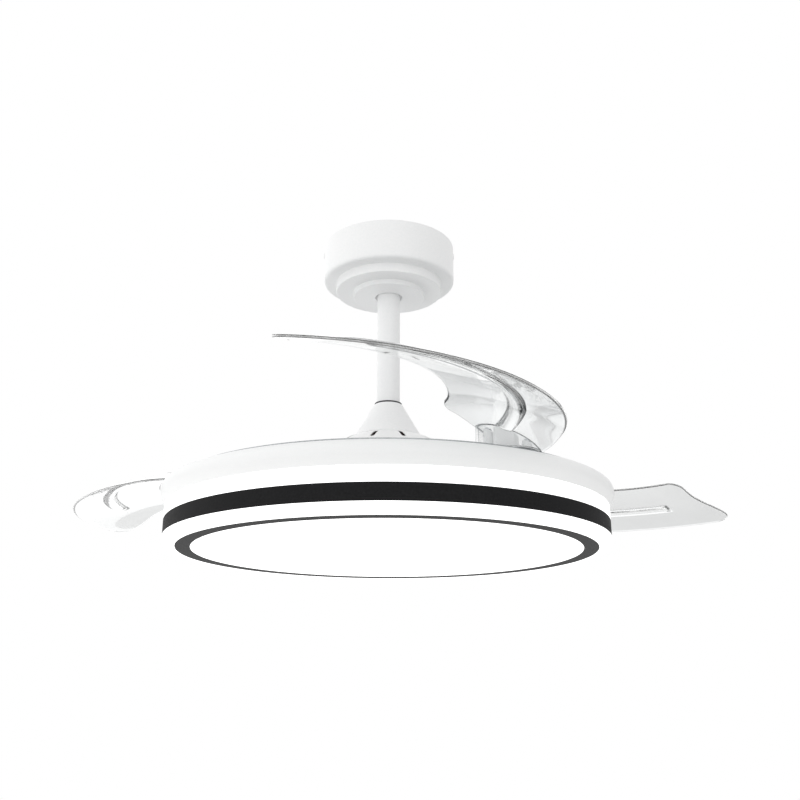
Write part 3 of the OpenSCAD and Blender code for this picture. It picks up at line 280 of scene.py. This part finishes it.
# Moulded ABS: even white with a soft gloss
abs_white = skin("moulded_white_abs", "#f3f4f4", "#f6f6f6", 0.4, grain=1.2, lift=0.006, IOR=1.54)
dress(zinc, "lamp_carrier", "tray_screws")
dish = [(242.5, -312, 1.2), (255.8, -312, 9.5), (255.4, -325.5, 3.6), (251, -333, 2), (249.5, -336, 0.4),
        (247, -336, 0.4), (247, -333.5, 0.5), (248, -322.5, 0.5), (16.5, -322.5, 0.3), (16.5, -320, 0.3),
        (241.5, -320, 3)]
post = [(6, -322.5, 0.3), (6, -350.3, 0.3), (1.8, -350.3, 0.2), (1.8, -322.5, 0.2)]
POST_AT = 165
posts = [turned(post, 32, (POST_AT * np.cos(a), POST_AT * np.sin(a)))
         for a in np.radians(np.arange(0, 360, 60))]
shapes = [turned(dish), *posts]
starts = np.cumsum([0] + [p[..., 0].size for p, _ in shapes])
tray_shape = (np.concatenate([p.reshape(-1, 3) for p, _ in shapes]),
              np.concatenate([q + n for (_, q), n in zip(shapes, starts)]))
dressed(abs_white, "white_plastic", "moulded_tray", tray_shape, "hanging", "tray")

# ---------- lamp ----------
# A steel pan under the tray carries the LED board, and a strip of LEDs stands round its rim.
# Opal acrylic walls on both sides of a rolled and enamelled steel band glow as two lines, and
# an opal plate closes the lamp inside a dark trim ring.

# Cast opal acrylic, lit from behind: smooth and evenly bright
opal = skin("opal_acrylic_lit", "#f4f4f2", "#fafaf9", 0.25, grain=6, lift=0.002, IOR=1.49,
            Emission_Color=linear("#ffffff"), Emission_Strength=1.0)
# Baked satin enamel: near black and nearly without shine
band_black = skin("black_enamel", "#1b1b1c", "#222223", 0.6, grain=2.0, lift=0.006,
                  Specular_IOR_Level=0.08)
# The same enamel on the trim, a little glossier, so that it comes out dark grey
trim_grey = skin("grey_enamel", "#1c1c1d", "#222223", 0.6, grain=1.6, lift=0.006,
                 Specular_IOR_Level=0.12)
# Solder mask screened over the board: smooth greenish white
board = skin("white_solder_mask", "#e2e5e3", "#eef0ee", 0.35, grain=2.0, lift=0.004)
# Phosphor cast in silicone over each LED: yellow, with a granular look
phosphor = skin("led_phosphor", "#e3cf6a", "#f4e48c", 0.5, grain=0.5, lift=0.01)
# Extruded PVC sheath: pale grey, and slightly dull
sheath = skin("pvc_cable_sheath", "#b9babb", "#c9cacb", 0.55, grain=0.8, lift=0.01, IOR=1.53)
guide = [(249.5, -336, 0.4), (250, -351.8, 0.4), (244, -351.8, 0.3), (244, -336, 0.3)]
band = [(250, -351.8, 0.4), (250, -369.1, 0.4), (248.5, -369.1, 0.3), (248.5, -351.8, 0.3)]
shade = [(248.5, -351.8, 0.2), (248.5, -369.1, 0.2), (250, -369.1, 0.5), (250, -379.4, 7),
         (236.2, -379.4, 0.1), (236.2, -379, 0.1), (234.3, -379, 0.1), (234.3, -376.4, 0.2),
         (231.2, -376.4, 0.2), (231.2, -373.9, 0.5), (244, -366.9, 2), (244, -353.3, 0.3),
         (244, -351.8, 0.3)]
trim = [(221.4, -376.4, 0.3), (234.2, -376.4, 0.3), (234.2, -379.1, 0.1), (236.1, -379.1, 0.1),
        (236.1, -379.4, 0.1), (219.6, -379.4, 0.1), (219.6, -379.2, 0.05), (221.4, -379.2, 0.05)]
dressed(opal, "opal_acrylic", "light_line", turned(guide, 320), "hanging", "light_guide")
dressed(band_black, "black_paint", "enamelled_band", turned(band, 320), "hanging", "black_band")
dressed(opal, "opal_acrylic", "opal_shade", turned(shade, 320), "hanging", "shade_ring")
ring_trim = dressed(trim_grey, "grey_paint", "enamelled_trim", turned(trim, 320), "hanging", "bottom_trim")
# The trim's two thin lips, which lap the shade and the diffuser, are painted near black: painted shade in
# the joints between the trim, the shade ring and the diffuser
TRIM_R, UNSHADED_HALF = 227.85, 6.6
ring_trim.data.materials.append(band_black)
for face in ring_trim.data.polygons:
    face.material_index = int(abs(np.hypot(*face.center[:2]) / MM - TRIM_R) > UNSHADED_HALF)
dress(opal, "diffuser")
dress(powder_white, "lamp_pan")
dress(board, "led_board", "rim_led_strip")
dress(phosphor, "led_chips")
dress(abs_white, "led_driver", "receiver_box")
dress(sheath, "supply_cable")
dress(polyamide, "cable_plug")
dress(steel, "pan_screws")

# ---------- blade mechanism ----------
# A cast ring bolted under the motor carries three pivots, each a shoulder bolt with a coil
# spring round it. A moulded holder with a bronze bush swings on each, and a toothed ring
# joins the three, so that they swing together.

# Sintered bronze: brown gold, dulled by the oil in its pores
bronze = skin("sintered_bronze", "#8d6a38", "#b08d57", 0.4, metal=1.0, grain=0.5, lift=0.02)
dress(cast, "blade_carrier", "sync_ring")
dress(steel, "carrier_bolts", "pivot_bolts", "pivot_nuts", "return_springs")
dress(abs_white, "ring_guides")
for i in (1, 2, 3):
    dress(abs_white, f"blade_holder_{i}")
    dress(bronze, f"pivot_bush_{i}")
    dress(steel, f"blade_screws_{i}")

# ---------- blades ----------
# Three leaves of clear polycarbonate, injection moulded 2 mm thick, each with a half-round rib
# under it and a skirt round its holder, and screwed to that holder through a flat root pad.

# The pivots' radius, the leaf's inner and outer edges folded, and a leaf's length
AXIS_R, INNER_R, OUTER_R, LEAF_LENGTH = 216.0, 149.0, 254.88, 420
FOLD_DEG, ROTOR_TURN = 72.0, -57.6
SHEET_T, EDGE_FILLET = 2.0, 0.4
# The rib's radius, half width and depth, and the angles that it runs between
RIB_R, RIB_HALF, RIB_DEEP, RIB_FROM, RIB_TO = 211.5, 7, 3.0, 2.0, 83.5
# The pad's height at the pivot and its fall outwards
PAD_Z, PAD_SLOPE = -286.851, 0.4451
# The skirt: the middle and radius of its circle, its wall, its foot and its straight sides
LEAF_AT, LEAF_R, SKIRT_T, SKIRT_Z = np.array((225.5, 19.0)), 34.0, 2.5, -303.8
ROOT_SIDES = np.radians((113.7, 42.7))


def smooth(t):
    """Eased step from 0 to 1: 3 t^2 - 2 t^3, held beyond both ends."""
    c = np.clip(t, 0, 1)
    return c * c * (3 - 2 * c)


def leaf_height(s, r):
    """Middle surface of a folded leaf in mm, at s degrees behind its pivot and radius r: it
    climbs inwards by 0.5 d - 0.0014 d^2 at d inside radius 255.2, flattens to 0.351 d at the
    tip, rises 1.9 mm towards the root, and eases into the flat sloping pad over the pivot."""
    x, y = r * np.cos(np.radians(s)), -r * np.sin(np.radians(s))
    d = 255.2 - r
    arched = 0.5 * d - 0.0014 * d * d
    swept = -306.2 + arched + (0.3513 * d - arched) * smooth((s - 83.7) / 18)
    swept = swept + 1.9 * smooth((190 + y) / 100)
    away = np.hypot(x - AXIS_R - 9.5, y - 19)
    return swept + (PAD_Z - PAD_SLOPE * (x - AXIS_R) - swept) * (1 - smooth((away - 36) / 70))


def climb(t):
    """Share of a quarter ellipse still to climb at share t of its length."""
    q = np.clip(1 - t, 0, 1)
    return 1 - np.sqrt(1 - q * q)


def root_edge(v):
    """Root's angle at share v from inner to outer edge: two straight sides, each 30.5 mm from
    the pivot, that meet in a soft corner, and a round inner corner."""
    r = INNER_R + (OUTER_R - INNER_R) * v
    reach = np.clip((30.5 + AXIS_R * np.cos(ROOT_SIDES)) / np.asarray(r)[..., None], -1, 1)
    e, c = np.moveaxis(np.degrees(ROOT_SIDES - np.arccos(reach)), -1, 0)
    return 8.5 * climb(v / 0.13) - (e + c - np.hypot(e - c, 1.5)) / 2


def tip_edge(v):
    """Tip's angle at share v from inner to outer edge: a shallow wave with round corners."""
    return (99.69 - 1.5 * np.sin(2 * np.pi * (v - 0.08)) - 8 * climb(v / 0.18)
            - 5.8 * climb((1 - v) / 0.15))


def opened(points, i):
    """Points of folded leaf i, in mm, turned out about its pivot and then about the rod."""
    a, b = np.radians((FOLD_DEG, ROTOR_TURN + 120 * (i - 1)))
    x, y = points[..., 0] - AXIS_R, points[..., 1]
    x, y = AXIS_R + x * np.cos(a) - y * np.sin(a), x * np.sin(a) + y * np.cos(a)
    return np.stack((x * np.cos(b) - y * np.sin(b), x * np.sin(b) + y * np.cos(b),
                     points[..., 2]), -1)


def leaf_points():
    """Top and bottom grids of a folded leaf. Columns run along circles round the fan's axis,
    rows from the root edge to the tip edge. Each face lies half a wall from the middle surface
    along its normal, less near an edge, where it rounds over, and the bottom one bulges by a
    half ellipse under the rib."""
    near = np.array([0, 0.05, 0.15, 0.4])
    rows = np.concatenate((near / LEAF_LENGTH, np.linspace(0.004, 0.996, 140),
                           1 - near[::-1] / LEAF_LENGTH))
    rib = RIB_R + RIB_HALF * np.sin(np.linspace(-np.pi / 2, np.pi / 2, 21))
    r = np.concatenate((INNER_R + near, np.linspace(INNER_R + near[-1], rib[0], 27)[1:-1], rib,
                        np.linspace(rib[-1], OUTER_R - near[-1], 20)[1:-1],
                        OUTER_R - near[::-1]))[None]
    v = (r - INNER_R) / (OUTER_R - INNER_R)
    s = root_edge(v) + (tip_edge(v) - root_edge(v)) * rows[:, None]
    arc = np.radians(r)
    depth = np.minimum.reduce([r - INNER_R + 0 * s, OUTER_R - r + 0 * s,
                               (s - root_edge(v)) * arc, (tip_edge(v) - s) * arc])
    inset = EDGE_FILLET - np.clip(depth, 0, EDGE_FILLET)
    half = SHEET_T / 2 - EDGE_FILLET + np.sqrt(EDGE_FILLET ** 2 - inset ** 2)
    across = np.clip(1 - ((r - RIB_R) / RIB_HALF) ** 2, 0, 1)
    ends = (1 - climb((s - RIB_FROM) / 2)) ** 2, (1 - climb((RIB_TO - s) / 2)) ** 2
    bulge = RIB_DEEP * np.sqrt(across * ends[0] * ends[1])
    e = 0.05
    slope_r = (leaf_height(s, r + e) - leaf_height(s, r - e)) / (2 * e)
    slope_s = (leaf_height(s + e, r) - leaf_height(s - e, r)) / (2 * e * arc)
    c, q = np.cos(np.radians(s)), np.sin(np.radians(s))
    normal = np.stack((-slope_r * c + slope_s * q, slope_r * q + slope_s * c, np.ones_like(s)), -1)
    normal /= np.linalg.norm(normal, axis=-1, keepdims=True)
    middle = np.stack((r * c, -r * q, leaf_height(s, r)), -1)
    return middle + normal * half[..., None], middle - normal * (half + bulge)[..., None]


def leaf_outline(inset):
    """Plan of the skirt, shrunk by inset: a circle cut by the root's sides and the outer edge."""
    turn = np.linspace(0, 2 * np.pi, 240, endpoint=False)
    way = np.stack((np.cos(turn), np.sin(turn)), -1)
    reach = np.full(len(turn), LEAF_R - inset)
    for a in ROOT_SIDES:
        side = np.array((np.cos(a), np.sin(a)))
        left = 29 - inset - side @ (LEAF_AT - (AXIS_R, 0))
        reach = np.minimum(reach, np.where(way @ side > 0.01, left / np.maximum(way @ side, 0.01), 99))
    lean, rest = way @ LEAF_AT, LEAF_AT @ LEAF_AT - (OUTER_R - 1.2 - inset) ** 2
    reach = np.minimum(reach, -lean + np.sqrt(lean ** 2 - rest))
    return LEAF_AT + way * reach[:, None]


def skirt_points():
    """Four loops of the skirt: outside top and bottom, inside bottom and top. Its top meets the
    root pad's underside."""
    loops = []
    for inset, top in ((0, True), (0, False), (SKIRT_T, False), (SKIRT_T, True)):
        flat = leaf_outline(inset)
        pad = PAD_Z - SHEET_T / 2 - PAD_SLOPE * (flat[:, 0] - AXIS_R)
        z = np.maximum(pad, SKIRT_Z + 0.1) if top else np.full(len(flat), SKIRT_Z)
        loops.append(np.column_stack((flat, z)))
    return np.stack(loops)


def let_through(mat, tint, slanted=False):
    """Mixes in a plain see-through shader of that tint. Shadow and diffuse rays get it alone, so
    the clear sheet throws only a faint shadow. Where slanted, other rays get the share
    0.95 - 0.95 (1 - cos)^5 of it, the same from either side of the wall."""
    path = add(mat, "LightPath")
    share = add(mat, "Math", {"operation": "MAXIMUM"}, {0: path.outputs["Is Shadow Ray"],
                                                        1: path.outputs["Is Diffuse Ray"]})
    if slanted:
        slant = add(mat, "LayerWeight", None, {"Blend": 0.5}).outputs["Facing"]
        gloss = add(mat, "Math", {"operation": "POWER"}, {0: slant, 1: 5.0})
        rest = add(mat, "Math", {"operation": "MULTIPLY_ADD"}, {0: gloss.outputs[0], 1: -0.95, 2: 0.95})
        share = add(mat, "Math", {"operation": "MAXIMUM"}, {0: share.outputs[0], 1: rest.outputs[0]})
    through = add(mat, "BsdfTransparent", None, {"Color": linear(tint)})
    shader = mat.node_tree.nodes["Principled BSDF"].outputs["BSDF"]
    both = add(mat, "MixShader", None, {0: share.outputs[0], 1: shader, 2: through.outputs[0]})
    end = mat.node_tree.nodes["Material Output"]
    mat.node_tree.links.new(both.outputs[0], end.inputs["Surface"])


# Clear moulded polycarbonate: glossy, with a slow waviness of the mould some 30 mm long
clear = skin("clear_polycarbonate", "#f5f6f6", "#f7f8f8", 0.02, grain=30, lift=0.02, IOR=1.585,
             Transmission_Weight=1.0)
# Moulded edges and rims: painted in dark dashes and paler patches, a painted reflection that stands in for
# the dark surroundings the wall refracts and reflects when seen end on
painted_dark_rim = skin("polycarbonate_edge_painted_dark", "#18191b", "#eceded", 0.1, grain=16, lift=0.0, IOR=1.585,
                 Transmission_Weight=0.55)
# The skirt's thin upright walls: nearly all light goes straight through, and only what a
# polished face throws back at a slant is seen
wall_clear = skin("polycarbonate_wall", "#b9bcbe", "#cfd2d3", 0.05, grain=20, lift=0.01, IOR=1.585)
# The root's cut edge stands square to the light and is seen nearly black, so it is painted shade: opaque
# and nearly black
painted_dark_root = skin("polycarbonate_root_painted_dark", "#26282a", "#5a5d60", 0.15, grain=9, lift=0.0, IOR=1.585)
let_through(clear, "#f4f5f5")
let_through(painted_dark_rim, "#f4f5f5")
let_through(wall_clear, "#fdfdfd", slanted=True)

top, bottom = leaf_points()
n_cols = top.shape[1]
upper = np.arange(top[..., 0].size).reshape(top.shape[:2])
lower = upper + upper.size
rim = np.concatenate((upper[0, :-1], upper[:-1, -1], upper[-1, :0:-1], upper[::-1, 0]))
strip = np.stack((rim[:-1], rim[1:], rim[1:] + upper.size, rim[:-1] + upper.size), -1)
skirt = skirt_points()
loops = 2 * upper.size + np.arange(skirt[..., 0].size).reshape(skirt.shape[:2])
loops = np.column_stack((loops, loops[:, :1]))
loops = np.vstack((loops, loops[:1]))
# Each group of faces, reversed where needed to face outwards, and its material's place below. The edge and
# root faces take the painted dark materials: painted reflection on the edges and painted shade on the root
SHEET, EDGE, WALL, ROOT = range(4)
groups = ((quads(upper)[:, ::-1], SHEET), (quads(lower), SHEET), (quads(loops[0:2])[:, ::-1], WALL),
          (quads(loops[2:4])[:, ::-1], WALL), (quads(loops[3:5])[:, ::-1], EDGE),
          (strip[:n_cols - 1, ::-1], ROOT), (strip[n_cols - 1:, ::-1], EDGE),
          (quads(loops[1:3])[:, ::-1], EDGE))
leaf_faces = np.concatenate([faces for faces, _ in groups])
material_at = np.concatenate([np.full(len(faces), look, np.int32) for faces, look in groups])
# The rib's steep flanks and ends get the edges' painted reflection: the same dark dashes that stand in for
# what they refract and reflect
centre = bottom.reshape(-1, 3)[quads(upper)].mean(axis=1)
off_rib = abs(np.hypot(centre[:, 0], centre[:, 1]) - RIB_R)
behind = -np.degrees(np.arctan2(centre[:, 1], centre[:, 0]))
on_rib = (off_rib < RIB_HALF) & (behind > RIB_FROM) & (behind < RIB_TO + 0.1)
steep = (off_rib > RIB_HALF - 0.7) | (behind < RIB_FROM + 0.6) | (behind > RIB_TO - 0.6)
material_at[len(centre):2 * len(centre)][on_rib & steep] = EDGE
for i in (1, 2, 3):
    points = np.concatenate((top.reshape(-1, 3), bottom.reshape(-1, 3), skirt.reshape(-1, 3)))
    leaf = new_piece(f"clear_leaf_{i}", opened(points, i), leaf_faces, f"blade_{i}", f"blade_{i}")
    for mat in (clear, painted_dark_rim, wall_clear, painted_dark_root):
        leaf.data.materials.append(mat)
    leaf.data.polygons.foreach_set("material_index", material_at)

# ---------- studio ----------
# Pale floor, white surround and one soft lamp in front, and the camera where the photograph
# was taken. The surround looks plain white, but as light it is dimmer on the right, in front
# and in bands of height, which gives the white pieces their shading.

scene = bpy.context.scene
scene.view_settings.view_transform = "Standard"
world = bpy.data.worlds.new("studio")
scene.world = world
world.use_nodes = True
world.node_tree.nodes.clear()
way = add(world, "SeparateXYZ", None, {"Vector": add(world, "TexCoord").outputs["Generated"]}).outputs
height = add(world, "Math", {"operation": "MULTIPLY_ADD"}, {0: way["Z"], 1: 0.5, 2: 0.5})
ramp = add(world, "ValToRGB", None, {"Fac": height.outputs[0]})
bar = ramp.color_ramp.elements
bar.remove(bar[1])
bar[0].color = (1.2, 1.2, 1.2, 1)
for at, bright in ((0.35, 1.2), (0.47, 1.0), (0.59, 0.75), (0.65, 1.08), (0.74, 1.08), (0.84, 1.0),
                   (0.95, 0.8)):
    bar.new(at).color = (bright, bright, bright, 1)
across = add(world, "Math", {"operation": "MULTIPLY_ADD"}, {0: way["X"], 1: -0.28, 2: 0.95})
level = add(world, "Math", {"operation": "MULTIPLY_ADD"}, {0: way["Y"], 1: 0.2, 2: across.outputs[0]})
room = add(world, "Background", None, {"Color": ramp.outputs["Color"], "Strength": level.outputs[0]})
seen = add(world, "Background", None, {"Color": (1, 1, 1, 1), "Strength": 1.0})
ray = add(world, "LightPath").outputs["Is Camera Ray"]
mixer = add(world, "MixShader", None, {0: ray, 1: room.outputs[0], 2: seen.outputs[0]})
add(world, "OutputWorld", None, {"Surface": mixer.outputs[0]})


def stand(name, data, place, right, up, back):
    """Puts a lamp or a camera at place in metres, with these three axes as its own."""
    ob = bpy.data.objects.new(name, data)
    scene.collection.objects.link(ob)
    turn = Matrix([[*r] for r in np.column_stack((right, up, back))]).to_4x4()
    ob.matrix_world = Matrix.Translation(place) @ turn
    return ob


# A square soft box, aimed at the fan's middle
lamp = bpy.data.lights.new("front", "AREA")
lamp.size = 2.2
lamp.energy = 13
LAMP_AT = (0.7, -2.6, 0.1)
back = np.array(LAMP_AT) - (0, 0, -0.25)
back /= np.linalg.norm(back)
right = np.cross((0, 0, 1), back)
right /= np.linalg.norm(right)
stand("front", lamp, LAMP_AT, right, np.cross(back, right), back)

FLOOR_R, FLOOR_Z = 3.5, -2.4
floor_mesh = bpy.data.meshes.new("floor")
turns = np.linspace(0, 2 * np.pi, 64, endpoint=False)
floor_mesh.from_pydata([(FLOOR_R * np.cos(a), FLOOR_R * np.sin(a), FLOOR_Z) for a in turns], [],
                       [list(range(len(turns)))])
floor = bpy.data.objects.new("floor", floor_mesh)
scene.collection.objects.link(floor)
# Painted screed: pale matt grey, clouded in patches some 40 mm across
floor_mesh.materials.append(skin("pale_floor", "#e4e4e3", "#ececeb", 0.8, grain=40, lift=0.0))

camera = bpy.data.cameras.new("camera")
camera.lens = 42.99
camera.sensor_width = 36
pitch, yaw, roll = np.radians((17.424, 0.7385, 0.0794))
forward = np.array((np.sin(yaw) * np.cos(pitch), np.cos(yaw) * np.cos(pitch), np.sin(pitch)))
right = np.array((np.cos(yaw), -np.sin(yaw), 0))
up = np.cross(right, forward)
right, up = (np.cos(roll) * right + np.sin(roll) * up, np.cos(roll) * up - np.sin(roll) * right)
scene.camera = stand("camera", camera, (0, -1.0868, -0.5382), right, up, -forward)
